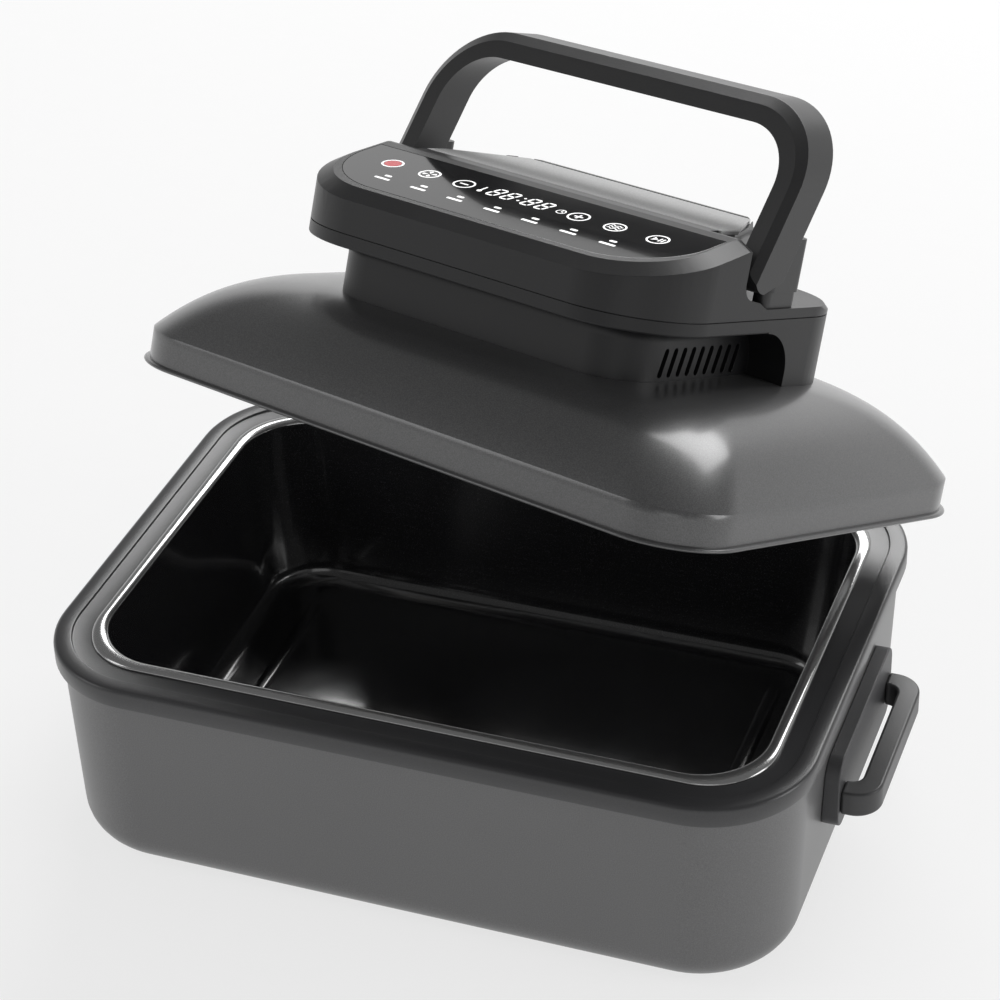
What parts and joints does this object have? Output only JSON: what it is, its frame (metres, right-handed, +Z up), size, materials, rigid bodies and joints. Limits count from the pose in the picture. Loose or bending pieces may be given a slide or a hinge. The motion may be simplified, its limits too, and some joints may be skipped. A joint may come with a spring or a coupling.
{
  "type": "air fryer grill",
  "caption": "Rectangular roasting base with side grips and a lift-off lid that carries a heater, a fan, a sloping touch panel and a tall carry handle, shown held open.",
  "frame": {"origin": "centre of the flat underside of the base, on the surface that it stands on", "axes": "+Z up, +X along the base's length to the right as seen from the front, +Y to the back"},
  "size_m": [0.443, 0.359, 0.3576],
  "materials": {
    "body_paint": "satin gunmetal paint",
    "rim_paint": "satin dark grey enamel",
    "pot_coating": "dark non-stick coating, semi-gloss",
    "plate_plastic": "satin moulded plastic",
    "grip_plastic": "satin moulded plastic",
    "fastener": "zinc-plated steel",
    "lid_paint": "glossy gunmetal paint",
    "seal": "grey silicone",
    "liner_metal": "bright pressed sheet",
    "insulation": "ceramic fibre",
    "heater_steel": "dark oxidised steel tube",
    "clip_steel": "plain steel",
    "ceramic": "unglazed white ceramic",
    "guard_steel": "bright pressed steel",
    "probe_steel": "stainless steel",
    "neck_plastic": "satin black plastic",
    "head_plastic": "satin dark grey plastic",
    "panel": "glossy black, with light marks under the surface",
    "cover_plastic": "fine-textured grey plastic",
    "circuit_board": "green circuit board",
    "display": "dark display window",
    "inlet_plastic": "black plastic with metal pins",
    "bracket_steel": "pressed steel",
    "handle_plastic": "satin dark grey plastic",
    "post_plastic": "satin dark grey plastic",
    "motor_metal": "plated steel can",
    "shaft_steel": "ground steel",
    "fan_metal": "pressed sheet",
    "cooling_plastic": "light grey plastic"
  },
  "bodies": {
    "base": {"base_shell": "body_paint", "rim_collar": "rim_paint", "inner_pot": "pot_coating", "side_plate_left": "plate_plastic", "side_plate_right": "plate_plastic", "side_grip_left": "grip_plastic", "side_grip_right": "grip_plastic", "side_handle_screws": "fastener"},
    "motor_unit": {"motor_can": "motor_metal"},
    "lid": {"lid_dome": "lid_paint", "lid_seal": "seal", "lid_liner": "liner_metal", "insulation_pad": "insulation", "heating_element": "heater_steel", "element_clips": "clip_steel", "element_terminals": "ceramic", "fan_guard": "guard_steel", "guard_legs": "guard_steel", "guard_screws": "fastener", "temperature_probe": "probe_steel", "neck_housing": "neck_plastic", "upper_housing": "head_plastic", "touch_panel": "panel", "rear_cover": "cover_plastic", "control_board": "circuit_board", "display_module": "display", "power_board": "circuit_board", "power_inlet": "inlet_plastic", "housing_screws": "fastener", "motor_bracket": "bracket_steel", "bracket_screws": "fastener", "carry_handle": "handle_plastic", "handle_post_left": "post_plastic", "handle_post_right": "post_plastic", "handle_screws": "fastener"},
    "fan": {"motor_shaft": "shaft_steel", "convection_fan": "fan_metal", "cooling_fan": "cooling_plastic"}
  },
  "joints": [
    {"name": "lid_tilt", "type": "hinge", "parent": "base", "child": "motor_unit", "pos_m": [0.036, 0.178, 0.029], "axis": [-0.9798, 0.188, 0.068], "range_deg": [-22.9, 0]},
    {"name": "lid_turn", "type": "hinge", "parent": "motor_unit", "child": "lid", "pos_m": [0.01354, 0.04762, 0.18272], "axis": [0.0679, 0.3823, 0.9215], "range_deg": [0, 22.4]},
    {"name": "fan_spin", "type": "hinge", "parent": "motor_unit", "child": "fan", "pos_m": [0.01354, 0.04762, 0.18272], "axis": [0.0679, 0.3823, 0.9215], "continuous": true}
  ],
  "couplings": [
    {"joint": "lid_turn", "follows": "lid_tilt", "ratio": -0.97817}
  ]
}
